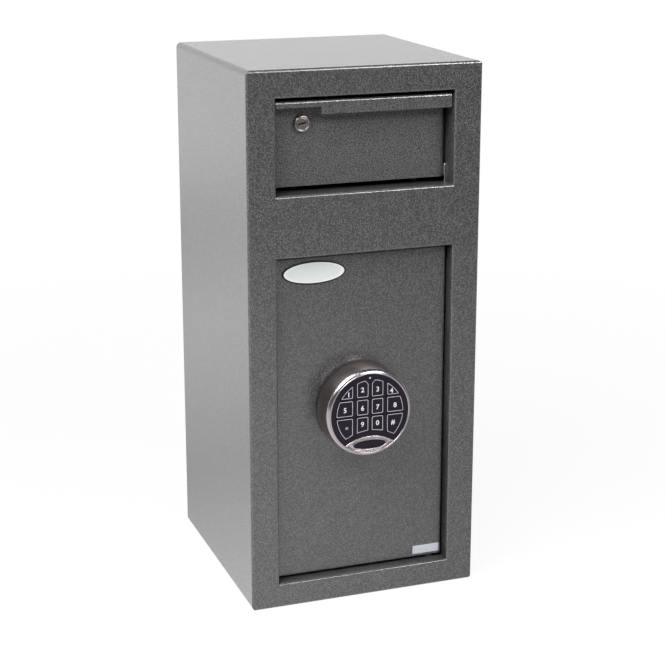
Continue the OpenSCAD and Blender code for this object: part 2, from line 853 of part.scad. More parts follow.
module keypad_housing() {
    shoulder_k = bead_top_k - 0.5 - shoulder_r;
    color(gunmetal) {
        keypad_ring() housing_section(shoulder_k);
        for (i = [0:rib_count - 1])
            at_keypad() rotate([0, (i + 0.5) * 360 / rib_count, 0])
                block(ledge_r, cavity_r + 1, door_y - plate_k, door_y - cavity_k + 0.5,
                    -rib_half, rib_half);
        for (a = [110, 180, 250])
            at_keypad() rotate([0, -a, 0]) translate([pillar_at, 0, 0])
                bar_y(pillar_r, door_y - board_k, door_y - cavity_k + 0.5);
    }
}

// Half section of the housing, as radius and level
module housing_section(shoulder_k) {
    difference() {
        intersection() {
            translate([housing_r - barrel_r, barrel_mid_k]) circle(barrel_r, $fn = 400);
            union() {
                translate([0, floor_k]) square([housing_r + 5, shoulder_k - floor_k]);
                translate([0, shoulder_k - 1]) square([shoulder_mid_r, shoulder_r + 1]);
                translate([shoulder_mid_r, shoulder_k]) circle(shoulder_r);
            }
        }
        translate([-1, cavity_k]) square([cavity_r + 1, 60]);
        translate([-1, plate_top_k - 0.5]) square([bead_out_r + 1.3, 60]);
        translate([-1, floor_k - 1]) square([spindle_r + seat_fit + 1, 60]);
    }
}

shoulder_mid_r = housing_r - barrel_r - shoulder_r + 0.02
    + sqrt(pow(barrel_r, 2) - pow(bead_top_k - 0.5 - shoulder_r - barrel_mid_k, 2));

module bead_ring() {
    bead_r = (bead_out_r - face_r) / 2 - seat_fit;
    color(silver) keypad_ring() {
        translate([face_r + seat_fit, plate_k]) square([2 * bead_r, bead_top_k - bead_r - plate_k]);
        translate([face_r + seat_fit + bead_r, bead_top_k - bead_r]) circle(bead_r);
    }
}

// Outline of one key, grown by the amount given
module key_outline(col, row, grow) {
    c = cols[col];
    r = rows[row];
    difference() {
        intersection() {
            translate([c[0] - grow, r[0] - grow])
                square([c[1] - c[0] + 2 * grow, r[1] - r[0] + 2 * grow]);
            circle(key_field_r + grow);
        }
        translate([0, crescent_arc_v]) circle(key_lower_arc_r - grow);
        translate([0, led_v]) rotate(45) square(2 * (led_cut - grow), center = true);
    }
}

// Region of the crescent at the foot of the face
module crescent_outline(grow) {
    intersection() {
        circle(face_r + grow);
        translate([0, crescent_arc_v]) circle(crescent_arc_r + grow);
    }
}

module keypad_face() {
    color(black_gloss) difference() {
        keypad_layer(plate_k, plate_top_k) circle(face_r);
        for (col = [0:3], row = [0:2])
            keypad_layer(plate_k - 1, plate_top_k + 1) key_outline(col, row, key_fit);
        keypad_layer(plate_k - 1, plate_top_k + 1) crescent_outline(seat_fit);
        keypad_layer(plate_k - 1, plate_top_k + 1) translate([0, led_v]) circle(0.9);
    }
}

module crescent_bezel() {
    color(gunmetal) difference() {
        keypad_layer(plate_k, crescent_top_k) crescent_outline(0);
        keypad_layer(plate_top_k - 0.6, crescent_top_k + 1)
            translate([0, window_v]) oval(window_half_w, window_half_h);
    }
}

module nameplate_window() {
    color(black_gloss) keypad_layer(plate_top_k - 0.6, plate_top_k)
        translate([0, window_v]) oval(window_half_w - 0.05, window_half_h - 0.05);
}

module circuit_board() {
    color(board_green) {
        difference() {
            keypad_layer(board_k, board_k + board_t) circle(ledge_r - 0.4);
            keypad_layer(board_k - 1, board_k + board_t + 1) circle(1);
        }
        keypad_layer(board_k + board_t, plate_top_k + 0.2) translate([0, led_v]) circle(0.8);
    }
}

module battery() {
    color(black_plastic) {
        keypad_layer(battery_k, battery_k + battery_t)
            translate([battery_u0, -battery_h / 2]) square([battery_w, battery_h - 3]);
        for (u = [battery_u0 + 7, battery_u1 - 7])
            at_keypad() translate([u, door_y - battery_k - battery_t / 2, battery_h / 2 - 3])
                cylinder(r = 3.2, h = 3);
    }
}

module spindle() {
    color(zinc) at_keypad() difference() {
        union() {
            bar_y(spindle_r, door_y - cavity_k, spindle_end_y);
            bar_y(spindle_r + 4, door_y - cavity_k - flange_t, door_y - cavity_k);
        }
        bar_y(bore_r, door_y - cavity_k - flange_t - 1, spindle_end_y + 1);
    }
}

// Spiral slot of the cam: its radius grows evenly with the turn
follower_out = follower_in + bolt_throw;
spiral_rate = bolt_throw / (spiral_turn * PI / 180);
function spiral_at(t) = let (a = 180 - t) (follower_in + bolt_throw * t / spiral_turn) * [cos(a), sin(a)];
function spiral_side(t) =
    let (a = 180 - t, r = follower_in + bolt_throw * t / spiral_turn)
    unit(r * [cos(a), sin(a)] - spiral_rate * [sin(a), -cos(a)]);
slot_r = follower_r + slot_fit;

module spiral_slot() {
    steps = 18;
    ts = [for (i = [0:steps]) spiral_turn * i / steps];
    polygon(concat(
        [for (t = ts) spiral_at(t) + slot_r * spiral_side(t)],
        [for (i = [steps:-1:0]) spiral_at(ts[i]) - slot_r * spiral_side(ts[i])]));
    translate(spiral_at(0)) circle(slot_r + 0.01);
    translate(spiral_at(spiral_turn)) circle(slot_r + 0.01);
}

module drive_cam() {
    color(zinc) at_keypad() difference() {
        bar_y(cam_r, cam_y, cam_back_y);
        bar_y(spindle_r + seat_fit, cam_y - 1, cam_back_y + 1);
        along_y(cam_y - 1, cam_back_y + 1) spiral_slot();
        for (a = [180, 270])
            rotate([0, -a, 0]) along_y(cam_y - 1, cam_back_y + 1)
                translate([cam_r - notch_depth, -lock_pin_r - notch_fit])
                    square([notch_depth + 5, 2 * (lock_pin_r + notch_fit)]);
    }
}

module cam_nut() {
    color(zinc) at_keypad() difference() {
        along_y(cam_back_y, cam_back_y + nut_t) circle(r = spindle_r + 4, $fn = 6);
        bar_y(spindle_r + seat_fit, cam_back_y - 1, cam_back_y + nut_t + 1);
    }
}

// Keys

module key(col, row) {
    color(black_gloss) {
        keypad_layer(key_flange_k, key_flange_k + key_flange_t) key_outline(col, row, key_lip);
        keypad_layer(key_flange_k + key_flange_t, plate_top_k + key_proud) key_outline(col, row, 0);
    }
}

module key_1() { key(0, 0); }
module key_2() { key(1, 0); }
module key_3() { key(2, 0); }
module key_4() { key(3, 0); }
module key_5() { key(0, 1); }
module key_6() { key(1, 1); }
module key_7() { key(2, 1); }
module key_8() { key(3, 1); }
module key_star() { key(0, 2); }
module key_9() { key(1, 2); }
module key_0() { key(2, 2); }
module key_hash() { key(3, 2); }

// Bolt carriage

arm_half = 9;
arm_x1 = keypad_x - follower_in + follower_r + 2;

module bolt_bar() {
    color(zinc) {
        difference() {
            union() {
                block(bar_x0, bar_x1, bar_y, bar_y + bar_t, bolt_zs[0] - bar_over, bolt_zs[1] + bar_over);
                block(bar_x1 - 1, arm_x1, bar_y, bar_y + bar_t, keypad_z - arm_half, keypad_z + arm_half);
                for (z = bolt_zs)
                    block(tab_x, tab_x + tab_t, bolt_y - bolt_r, bar_y + 1, z - arm_half, z + arm_half);
            }
            for (z = stud_zs)
                along_y(bar_y - 1, bar_y + bar_t + 1) translate([stud_x, z]) {
                    translate([0, -stud_r - run_fit]) square([bolt_throw, 2 * (stud_r + run_fit)]);
                    circle(stud_r + run_fit);
                    translate([bolt_throw, 0]) circle(stud_r + run_fit);
                }
            for (z = bolt_zs)
                translate([0, bolt_y, z]) bar_x(spigot_r + seat_fit, tab_x - 1, tab_x + tab_t + 1);
        }
        translate([keypad_x - follower_in, 0, keypad_z]) bar_y(follower_r, cam_y + 0.5, bar_y);
    }
}

module door_bolts() {
    color(silver) for (z = bolt_zs)
        translate([0, bolt_y, z]) {
            bar_x(bolt_r - 1, bolt_tip_x, bolt_tip_x + 1);
            bar_x(bolt_r, bolt_tip_x + 1, tab_x);
            bar_x(spigot_r, tab_x, tab_x + tab_t);
            bar_x(spigot_r + 1.5, tab_x + tab_t, tab_x + tab_t + 1.5);
        }
}

module lock_pin() {
    color(silver) translate([keypad_x, lock_pin_y, lock_pin_tip - lock_pin_l]) {
        cylinder(r = lock_pin_r, h = lock_pin_l - 1);
        translate([0, 0, lock_pin_l - 1]) cylinder(r1 = lock_pin_r, r2 = lock_pin_r - 0.8, h = 1);
    }
}

// Flap

flap_returns_z = rod_z + 10;

// Lip that folds forward from the flap's top edge and then down
module lip_profile(height) {
    bend = flap_sheet;
    translate([lip_y, flap_top - height]) square([flap_sheet, height - bend]);
    translate([lip_y + bend, flap_top - flap_sheet])
        square([flap_y - lip_y - bend + 0.5, flap_sheet]);
    intersection() {
        translate([lip_y + bend, flap_top - bend]) circle(bend);
        translate([lip_y, flap_top - bend]) square([bend, bend]);
    }
}

module flap_panel() {
    inner_r = flap_side_r - flap_sheet;
    color(paint) difference() {
        union() {
            difference() {
                along_z(flap_low, flap_top) translate([0, flap_y])
                    front_round(flap_x, flap_pan_d, flap_side_r);
                along_z(flap_low - 1, flap_top - flap_sheet) translate([0, flap_back_y])
                    front_round(flap_x - flap_sheet, flap_pan_d, inner_r);
                block(-flap_x - 1, flap_x + 1, flap_back_y, flap_y + flap_pan_d + 1,
                    flap_low - 1, flap_returns_z);
            }
            along_x(lip_notch_w - flap_x, flap_x) lip_profile(lip_h);
            along_x(-flap_x, lip_notch_w - flap_x) lip_profile(lip_notch_h);
        }
        translate([lock_x, 0, lock_z])
            bar_y(lock_barrel_r + seat_fit, flap_y - 1, flap_back_y + 1);
    }
}

// Side view of the hopper's cheek, around the hinge rod
module cheek_outline() {
    reach = hopper_r + 10;
    fall = tan(hopper_slope);
    front = flap_back_y - rod_y;
    under = hopper_floor_up - hopper_sheet / cos(hopper_slope);
    intersection() {
        circle(hopper_r);
        polygon([[front, under], [front, reach], [reach, reach],
            [reach, under - (reach - front) * fall]]);
    }
    intersection() {
        union() {
            circle(rod_r + 3);
            polygon([[front, -4], [front, under + 2], [26, under - 31 * fall + 1], [5, -4]]);
        }
        translate([front, -20]) square([60, 60]);
    }
}

module hopper_tray() {
    fall = tan(hopper_slope);
    front = flap_back_y - rod_y;
    under = hopper_floor_up - hopper_sheet / cos(hopper_slope);
    reach = hopper_r + 10;
    color(paint) translate([0, rod_y, rod_z]) difference() {
        union() {
            for (s = [-1, 1])
                along_x(s > 0 ? cheek_x - cheek_t : -cheek_x, s > 0 ? cheek_x : cheek_t - cheek_x)
                    cheek_outline();
            along_x(cheek_t / 2 - cheek_x, cheek_x - cheek_t / 2) intersection() {
                circle(hopper_r);
                polygon([[front, under], [front, hopper_floor_up],
                    [reach, hopper_floor_up - (reach - front) * fall],
                    [reach, under - (reach - front) * fall]]);
            }
            block(-cheek_x + cheek_t / 2, cheek_x - cheek_t / 2, front, front + hopper_sheet,
                under, hopper_floor_up + 16);
        }
        bar_x(rod_r + run_fit, -flap_x, flap_x);
    }
}

// Cylinder or cone about the flap lock's axis, from its front to its back
module lock_turned(r_front, r_back, y0, y1) {
    translate([0, y0, 0]) rotate([-90, 0, 0]) cylinder(r1 = r_front, r2 = r_back, h = y1 - y0);
}

module flap_lock_body() {
    color(silver) translate([lock_x, 0, lock_z]) difference() {
        union() {
            lock_turned(lock_bezel_r - 1.5, lock_bezel_r - 1, flap_y - lock_proud,
                flap_y - lock_proud + 0.5);
            lock_turned(lock_bezel_r - 1, lock_bezel_r, flap_y - lock_proud + 0.5, flap_y - 0.6);
            bar_y(lock_bezel_r, flap_y - 0.6, flap_y);
            bar_y(lock_barrel_r, flap_y, lock_cam_y - 0.3);
        }
        bar_y(lock_plug_r + run_fit, flap_y - lock_proud - 1, lock_cam_y);
        lock_turned(lock_plug_r + run_fit + 1, lock_plug_r + run_fit, flap_y - lock_proud - 0.5,
            flap_y - lock_proud + 0.5);
    }
}

module flap_lock_nut() {
    color(zinc) translate([lock_x, 0, lock_z]) difference() {
        along_y(flap_back_y, flap_back_y + 4) circle(r = lock_barrel_r + 3.5, $fn = 6);
        bar_y(lock_barrel_r + seat_fit, flap_back_y - 1, flap_back_y + 5);
    }
}

module flap_lock_plug() {
    color(zinc) translate([lock_x, 0, lock_z]) difference() {
        union() {
            lock_turned(lock_plug_r - 0.4, lock_plug_r, flap_y - lock_plug_out,
                flap_y - lock_plug_out + 0.4);
            bar_y(lock_plug_r, flap_y - lock_plug_out + 0.4, lock_cam_y);
            bar_y(3, lock_cam_y, lock_cam_y + lock_cam_t);
        }
        rotate([0, -lock_slot_turn, 0]) {
            block(-keyway_half, keyway_half, flap_y - lock_proud, flap_y + 10,
                -keyway_t / 2, keyway_t / 2);
            block(-keyway_half - 0.4, keyway_half + 0.4, flap_y - lock_proud,
                flap_y - lock_plug_out + 0.5, -keyway_t / 2 - 0.4, keyway_t / 2 + 0.4);
        }
        bar_y(1.5 + seat_fit, lock_cam_y - 4, lock_cam_y + lock_cam_t + 1);
    }
}

module flap_lock_cam() {
    color(zinc) translate([lock_x, 0, lock_z]) difference() {
        along_y(lock_cam_y, lock_cam_y + lock_cam_t) {
            circle(6.5);
            translate([0, -6.5]) square([lock_cam_reach - 6.5, 13]);
            translate([lock_cam_reach - 6.5, 0]) circle(6.5);
        }
        bar_y(3 + seat_fit, lock_cam_y - 1, lock_cam_y + lock_cam_t + 1);
    }
}

module flap_cam_screw() {
    color(zinc) translate([lock_x, 0, lock_z])
        pan_screw(1.5, 4.5, 2.2, lock_cam_y - 3.5, lock_cam_y + lock_cam_t);
}

body_wrap();
front_frame();
back_panel();
chute_plate();
antifish_baffle();
strike_plate();
door_stops();
hinge_bushes();
hinge_washer();
flap_rod();
rod_clips();
flap_spring();
flap_buffers();
door_pan();
hinge_blocks();
hinge_pins();
badge();
serial_label();
inner_cover();
cover_screws();
bolt_guides();
bar_studs();
lock_unit();
lock_unit_screws();
spindle_bush();
keypad_base();
keypad_base_screws();
lock_cable();
keypad_housing();
bead_ring();
keypad_face();
crescent_bezel();
nameplate_window();
circuit_board();
battery();
spindle();
drive_cam();
cam_nut();
bolt_bar();
door_bolts();
lock_pin();
key_1();
key_2();
key_3();
key_4();
key_5();
key_6();
key_7();
key_8();
key_star();
key_9();
key_0();
key_hash();
flap_panel();
hopper_tray();
flap_lock_body();
flap_lock_nut();
flap_lock_plug();
flap_lock_cam();
flap_cam_screw();
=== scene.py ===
"""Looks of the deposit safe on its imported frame. Metres, +Z up, front towards -Y."""
import json
import math

import bpy
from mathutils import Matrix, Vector


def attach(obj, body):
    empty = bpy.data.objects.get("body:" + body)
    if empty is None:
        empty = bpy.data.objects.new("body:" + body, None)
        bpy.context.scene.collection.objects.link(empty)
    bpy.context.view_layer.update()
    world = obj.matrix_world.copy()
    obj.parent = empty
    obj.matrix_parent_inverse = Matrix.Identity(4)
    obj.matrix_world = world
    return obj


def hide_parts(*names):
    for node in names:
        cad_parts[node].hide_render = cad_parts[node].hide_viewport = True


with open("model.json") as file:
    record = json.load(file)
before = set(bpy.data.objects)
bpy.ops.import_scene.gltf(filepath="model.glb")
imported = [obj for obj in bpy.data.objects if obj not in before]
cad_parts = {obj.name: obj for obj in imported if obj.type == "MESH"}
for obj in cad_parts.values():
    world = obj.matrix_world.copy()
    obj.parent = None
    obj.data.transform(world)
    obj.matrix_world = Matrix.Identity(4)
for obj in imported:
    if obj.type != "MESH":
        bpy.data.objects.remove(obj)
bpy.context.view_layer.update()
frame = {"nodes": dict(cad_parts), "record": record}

NODES = frame["nodes"]
MM = 0.001
WHITE = (1.0, 1.0, 1.0)

# Camera, from the photograph's vanishing points: metres, degrees and millimetres of lens
CAMERA_PLACE = (-0.5399, -1.5224, 0.7092)
CAMERA_YAW = 19.80
CAMERA_PITCH = 15.19
CAMERA_LENS = 89.84
CAMERA_SENSOR = 36.0
CAMERA_SHIFT = (0.0024, -0.05)
CAMERA_CLIP = (0.05, 60)

# Places on the object, in millimetres. A pair is x and z on the front.
KEYPAD = (-3.0, 195.0)
# Edge of the keypad's polished shoulder: the housing is painted paler inside it, a painted highlight,
# and darker outside it, painted shade
POLISHED_LIT_R = 42.8
POLISHED_LIT_BLEND = 0.9
BADGE = (-48.0, 328.8)
BADGE_FIELD = (30.3, 9.95)
LABEL_X = (53.7, 84.7)
LABEL_END = 1.6


# Shader nodes, and where most of a noise lies

NOISE_LOW, NOISE_HIGH = 0.3, 0.7


class Nodes:
    """Adds nodes to the tree of a material or of the world."""

    def __init__(self, tree):
        self.tree = tree

    def add(self, kind, links=None, **settings):
        """Adds a node. A setting names a property, or an input by its name."""
        node = self.tree.nodes.new("ShaderNode" + kind)
        for key, value in settings.items():
            if hasattr(node, key):
                setattr(node, key, value)
            else:
                node.inputs[key.replace("_", " ")].default_value = value
        for key, output in (links or {}).items():
            self.tree.links.new(output, node.inputs[key])
        return node

    def feed(self, socket, value):
        """Sets a socket to a number or a colour, or links it to an output."""
        if isinstance(value, (int, float)):
            socket.default_value = value
        elif isinstance(value, tuple):
            socket.default_value = (*value, 1)
        else:
            self.tree.links.new(value, socket)

    def maths(self, operation, *terms):
        node = self.add("Math", operation=operation)
        for socket, term in zip(node.inputs, terms):
            self.feed(socket, term)
        return node.outputs["Value"]

    def mix(self, fac, one, two, blend="MIX", kind="RGBA"):
        """Goes from one to two with the factor."""
        node = self.add("Mix", data_type=kind, blend_type=blend)
        sockets = {socket.name: socket for socket in node.inputs if socket.enabled}
        for name, value in (("Factor", fac), ("A", one), ("B", two)):
            self.feed(sockets[name], value)
        return next(socket for socket in node.outputs if socket.enabled)

    def spread(self, fac, low, high, start=0.0, end=1.0, kind="LINEAR"):
        """Carries a factor from start and end to low and high, and no further."""
        return self.add("MapRange", {"Value": fac}, interpolation_type=kind, From_Min=start,
                        From_Max=end, To_Min=low, To_Max=high).outputs["Result"]

    def ramp(self, fac, stops):
        """Colour ramp with stops of place and grey or colour."""
        node = self.add("ValToRGB", {"Fac": fac})
        elements = node.color_ramp.elements
        while len(elements) < len(stops):
            elements.new(0.5)
        for element, (at, colour) in zip(elements, stops):
            element.position = at
            rgb = colour if isinstance(colour, tuple) else (colour,) * 3
            element.color = (*rgb, 1)
        return node.outputs["Color"]


class Shader(Nodes):
    """A node material around one Principled shader."""

    def __init__(self, name, colour=(0.5, 0.5, 0.5), **values):
        self.material = bpy.data.materials.new(name)
        self.material.use_nodes = True
        super().__init__(self.material.node_tree)
        self.bsdf = self.tree.nodes["Principled BSDF"]
        self.feed(self.bsdf.inputs["Base Color"], colour)
        for socket, value in values.items():
            self.feed(self.bsdf.inputs[socket.replace("_", " ")], value)

    def join(self, output, socket):
        self.tree.links.new(output, self.bsdf.inputs[socket])

    def place(self):
        return self.add("TexCoord").outputs["Object"]

    def axes(self):
        split = self.add("SeparateXYZ", {"Vector": self.place()})
        return [split.outputs[axis] for axis in "XYZ"]

    def ellipse(self, centre, half):
        """Distance from a centre on the front, with one on the line of the ellipse."""
        x, _, z = self.axes()
        terms = []
        for place, middle, reach in zip((x, z), centre, half):
            away = self.maths("ABSOLUTE", self.maths("SUBTRACT", place, middle * MM))
            terms.append(self.maths("POWER", self.maths("DIVIDE", away, reach * MM), 2.0))
        return self.maths("SQRT", self.maths("ADD", *terms))

    def noise(self, scale, detail=2.0, rough=0.5, vector=None):
        return self.add("TexNoise", {"Vector": vector or self.place()},
                        Scale=scale, Detail=detail, Roughness=rough).outputs["Fac"]

    def mottle(self, noise, dark, light):
        """Colour that goes from dark to light over the range of a noise."""
        return self.ramp(noise, [(NOISE_LOW, dark), (NOISE_HIGH, light)])

    def vary(self, noise, low, high):
        """Number that goes from low to high over the range of a noise."""
        return self.spread(noise, low, high, NOISE_LOW, NOISE_HIGH)

    def bump(self, height, strength, depth_mm, socket="Normal"):
        node = self.add("Bump", {"Height": height}, Strength=strength, Distance=depth_mm * MM)
        self.join(node.outputs["Normal"], socket)


def shade(colour, factor):
    """The colour, darker or lighter by the factor."""
    return tuple(min(1.0, c * factor) for c in colour)


# Paint: cells on a warped grid, and a fine grain on them. Scales are per metre, the warp is in
# metres and the depth in millimetres.

PAINT_CELLS = 800
PAINT_CROWN, PAINT_FOOT = 0.1, 0.75
PAINT_WARP_SCALE = 420
PAINT_WARP = 0.0009
PAINT_GRAIN = 2000
PAINT_GRAIN_SHARE = 0.9
PAINT_LOWEST, PAINT_HIGHEST = 0.55, 1.45
# Greys from a cell's foot to its crown: the paint's own cells, with a painted highlight on the crowns
# and painted shade at the feet
PAINT_CELL_SHEEN_TONES = [(0.0, 0.021), (0.4, 0.043), (0.7, 0.080), (1.0, 0.15)]
PAINT_PATCHES = 9
PAINT_PATCH_LOW, PAINT_PATCH_HIGH = 0.94, 1.06
PAINT_TINT = [(0.9, (0.90, 0.905, 0.92)), (1.0, WHITE)]
PAINT_DEPTH = 0.14


def hammertone():
    """Dark grey hammer finish: small raised cells, with a painted highlight on each crown and painted
    shade at its foot.
    """
    s = Shader("paint_hammer", Metallic=0.2, Specular_IOR_Level=0.5, Coat_Weight=1.0,
               Coat_Roughness=0.16, Coat_IOR=1.65)
    warp = s.add("TexNoise", {"Vector": s.place()}, Scale=PAINT_WARP_SCALE, Detail=1.0)
    centred = s.add("VectorMath", {0: warp.outputs["Color"]}, operation="SUBTRACT")
    centred.inputs[1].default_value = (0.5, 0.5, 0.5)
    shift = s.add("VectorMath", {0: centred.outputs["Vector"]}, operation="SCALE", Scale=PAINT_WARP)
    where = s.add("VectorMath", {0: s.place(), 1: shift.outputs["Vector"]},
                  operation="ADD").outputs["Vector"]
    cells = s.add("TexVoronoi", {"Vector": where}, feature="SMOOTH_F1", Scale=PAINT_CELLS,
                  Smoothness=0.2, Randomness=0.7).outputs["Distance"]
    grain = s.noise(PAINT_GRAIN, detail=3.0, rough=0.62, vector=where)
    height = s.maths("ADD", s.spread(cells, 1.0, 0.0, PAINT_CROWN, PAINT_FOOT),
                     s.maths("MULTIPLY", grain, PAINT_GRAIN_SHARE))
    # Painted highlight on the cells' crowns and painted shade at their feet, over the cell pattern
    tone = s.ramp(s.spread(height, 0.0, 1.0, PAINT_LOWEST, PAINT_HIGHEST), PAINT_CELL_SHEEN_TONES)
    patches = s.vary(s.noise(PAINT_PATCHES), PAINT_PATCH_LOW, PAINT_PATCH_HIGH)
    s.join(s.mix(1.0, tone, s.ramp(patches, PAINT_TINT), "MULTIPLY"), "Base Color")
    s.join(s.vary(grain, low=0.30, high=0.46), "Roughness")
    s.bump(height, strength=0.8, depth_mm=PAINT_DEPTH)
    s.bump(height, strength=0.5, depth_mm=PAINT_DEPTH, socket="Coat Normal")
    return s.material


# Metals, plastics and prints. A pair for roughness is its two ends, or their shares of the value
# that the material is given.

METAL_BLOTCH = 60
METAL_ROUGH = 0.8, 1.25
PLASTIC_BLOTCH = 150
PLASTIC_ROUGH = 0.85, 1.2
BRUSH_BLOTCH = 70
BRUSH_GRAIN = 1500
BRUSH_STRETCH = 0.06
BRUSH_ROUGH = 0.34, 0.48
POLISH_ROUGH = 0.21, 0.28
BADGE_TONES = [(0.0, (0.42, 0.44, 0.445)), (0.84, (0.44, 0.46, 0.46)), (0.94, (0.52, 0.53, 0.53))]
BADGE_RIM = (0.010, 0.010, 0.011)
BADGE_EDGE = 0.985
BADGE_BLEND = 0.006
BADGE_SPECK = 1400
LABEL_TONES = (0.33, 0.35, 0.375), (0.40, 0.42, 0.445)
LABEL_BAR = (0.045, 0.055, 0.085)
LABEL_SPECK = 1700


def metal(name, colour, rough, grain=900, wear=0.06, bump=0.08):
    """Plated or turned metal: fine grain in the roughness and a slight mottle in the colour."""
    s = Shader(name, colour, Metallic=1.0)
    fine = s.noise(grain, detail=3.0, rough=0.6)
    darker, lighter = shade(colour, 1 - 2 * wear), shade(colour, 1 + wear)
    s.join(s.mottle(s.noise(METAL_BLOTCH), darker, lighter), "Base Color")
    s.join(s.vary(fine, *(rough * share for share in METAL_ROUGH)), "Roughness")
    s.bump(fine, bump, depth_mm=0.05)
    return s.material


def plastic(name, colour, rough, grain=2600, bump=0.12, tone=0.12, **values):
    """Moulded plastic, rubber or print with a fine pebbled skin."""
    s = Shader(name, colour, **values)
    fine = s.noise(grain, rough=0.55)
    darker, lighter = shade(colour, 1 - tone), shade(colour, 1 + tone)
    s.join(s.mottle(s.noise(PLASTIC_BLOTCH), darker, lighter), "Base Color")
    s.join(s.vary(fine, *(rough * share for share in PLASTIC_ROUGH)), "Roughness")
    s.bump(fine, bump, depth_mm=0.03)
    return s.material


def turned_metal(name, shaded_wall, lit_shoulder):
    """Dark plated casting: its wall is brushed and painted darker as painted shade, and all inside
    the polished edge is smoother and painted paler as a painted highlight.
    """
    s = Shader(name, Metallic=1.0, Coat_Weight=0.3, Coat_Roughness=0.1)
    radius = s.ellipse(KEYPAD, (1.0, 1.0))
    # Inside the polished edge: smoother, and painted paler as a painted highlight
    polished_and_lit = s.spread(radius, 1.0, 0.0, POLISHED_LIT_R, POLISHED_LIT_R + POLISHED_LIT_BLEND)
    # The wall's colour is painted shade, darker than the shoulder's
    shaded_brushed_wall = s.mottle(s.noise(BRUSH_BLOTCH), shaded_wall, shade(shaded_wall, 1.1))
    s.join(s.mix(polished_and_lit, shaded_brushed_wall, lit_shoulder), "Base Color")
    x, y, z = s.axes()
    drawn = s.add("CombineXYZ", {"X": x, "Y": s.maths("MULTIPLY", y, BRUSH_STRETCH), "Z": z})
    brush = s.noise(BRUSH_GRAIN, detail=3.0, rough=0.6, vector=drawn.outputs["Vector"])
    s.join(s.mix(polished_and_lit, s.vary(brush, *BRUSH_ROUGH), s.vary(brush, *POLISH_ROUGH)), "Roughness")
    s.bump(brush, strength=0.05, depth_mm=0.04)
    return s.material


def circuit():
    """Solder mask with straight tracks."""
    s = Shader("board_mask", Roughness=0.35, Coat_Weight=0.4, Coat_Roughness=0.1)
    tracks = s.add("TexBrick", {"Vector": s.place()}, Scale=160, Mortar_Size=0.04,
                   Mortar_Smooth=0.1, Color1=(0.010, 0.075, 0.030, 1),
                   Color2=(0.012, 0.085, 0.035, 1), Mortar=(0.022, 0.15, 0.06, 1))
    s.join(tracks.outputs["Color"], "Base Color")
    s.bump(tracks.outputs["Fac"], strength=0.2, depth_mm=0.03)
    return s.material


def badge_print():
    """Bare grey field with a paler edge, inside a black rim."""
    s = Shader("badge_print", Specular_IOR_Level=0.3)
    radius = s.ellipse(BADGE, BADGE_FIELD)
    speck = s.noise(BADGE_SPECK)
    field = s.mix(1.0, s.ramp(radius, BADGE_TONES), s.mottle(speck, dark=0.95, light=1.0), "MULTIPLY")
    rim = s.spread(radius, 0.0, 1.0, BADGE_EDGE - BADGE_BLEND, BADGE_EDGE + BADGE_BLEND)
    s.join(s.mix(rim, field, BADGE_RIM), "Base Color")
    s.join(s.vary(speck, low=0.30, high=0.42), "Roughness")
    s.bump(speck, strength=0.06, depth_mm=0.03)
    return s.material


def label_foil():
    """Bare silver foil with a dark bar at both ends."""
    s = Shader("label_foil", Roughness=0.38)
    middle = sum(LABEL_X) / 2 * MM
    reach = ((LABEL_X[1] - LABEL_X[0]) / 2 - LABEL_END) * MM
    away = s.maths("ABSOLUTE", s.maths("SUBTRACT", s.axes()[0], middle))
    speck = s.noise(LABEL_SPECK)
    s.join(s.mix(s.maths("GREATER_THAN", away, reach), s.mottle(speck, *LABEL_TONES), LABEL_BAR),
           "Base Color")
    s.join(s.vary(speck, low=0.3, high=0.45), "Roughness")
    s.bump(speck, strength=0.08, depth_mm=0.02)
    return s.material


METALS = {
    "zinc_steel": dict(colour=(0.56, 0.57, 0.59), rough=0.34, grain=700, wear=0.1),
    "spring_steel": dict(colour=(0.76, 0.76, 0.76), rough=0.3, grain=1200),
    "brass": dict(colour=(0.66, 0.46, 0.18), rough=0.3),
    "trim_nickel": dict(colour=(0.48, 0.43, 0.445), rough=0.27, grain=1500, wear=0.03, bump=0.02),
    "bright_ring": dict(colour=(0.56, 0.51, 0.53), rough=0.3, grain=1500, wear=0.03, bump=0.03),
    "lock_chrome": dict(colour=(0.32, 0.30, 0.29), rough=0.3, grain=1600, wear=0.05, bump=0.05),
    "plug_nickel": dict(colour=(0.28, 0.25, 0.24), rough=0.34, grain=1400, wear=0.08, bump=0.1)}
PLASTICS = {
    "black_face": dict(colour=(0.008, 0.005, 0.011), rough=0.2, grain=1800, bump=0.03,
                       Specular_IOR_Level=0.16),
    "black_base": dict(colour=(0.014, 0.014, 0.016), rough=0.45),
    "cable_black": dict(colour=(0.018, 0.018, 0.018), rough=0.5),
    "battery_case": dict(colour=(0.03, 0.03, 0.034), rough=0.35),
    "rubber": dict(colour=(0.016, 0.016, 0.017), rough=0.75, grain=1500, bump=0.3),
    "lens": dict(colour=(0.42, 0.46, 0.44), rough=0.25, grain=1800, bump=0.03, tone=0.05,
                 Coat_Weight=0.5),
    "key_print": dict(colour=(0.50, 0.49, 0.52), rough=0.4, grain=2000, bump=0.05, tone=0.05),
    "outline_print": dict(colour=(0.34, 0.33, 0.36), rough=0.4, grain=2000, bump=0.05, tone=0.05)}
MATERIALS = {
    "body_paint": hammertone(),
    # On one metal: the darker wall colour is painted shade and the paler shoulder colour a painted
    # highlight
    "gunmetal": turned_metal("gunmetal", shaded_wall=(0.195, 0.168, 0.158), lit_shoulder=(0.41, 0.37, 0.385)),
    "board": circuit(),
    "badge_grey": badge_print(),
    "label_silver": label_foil(),
    **{name: metal(name, **look) for name, look in METALS.items()},
    **{name: plastic(name, **look) for name, look in PLASTICS.items()}}


# CAD nodes with their better materials

WELD_REACH = 1e-6
FLAT_ANGLE = 0.5
EDGE_ANGLE = 40
EDGE_SEGMENTS = 3


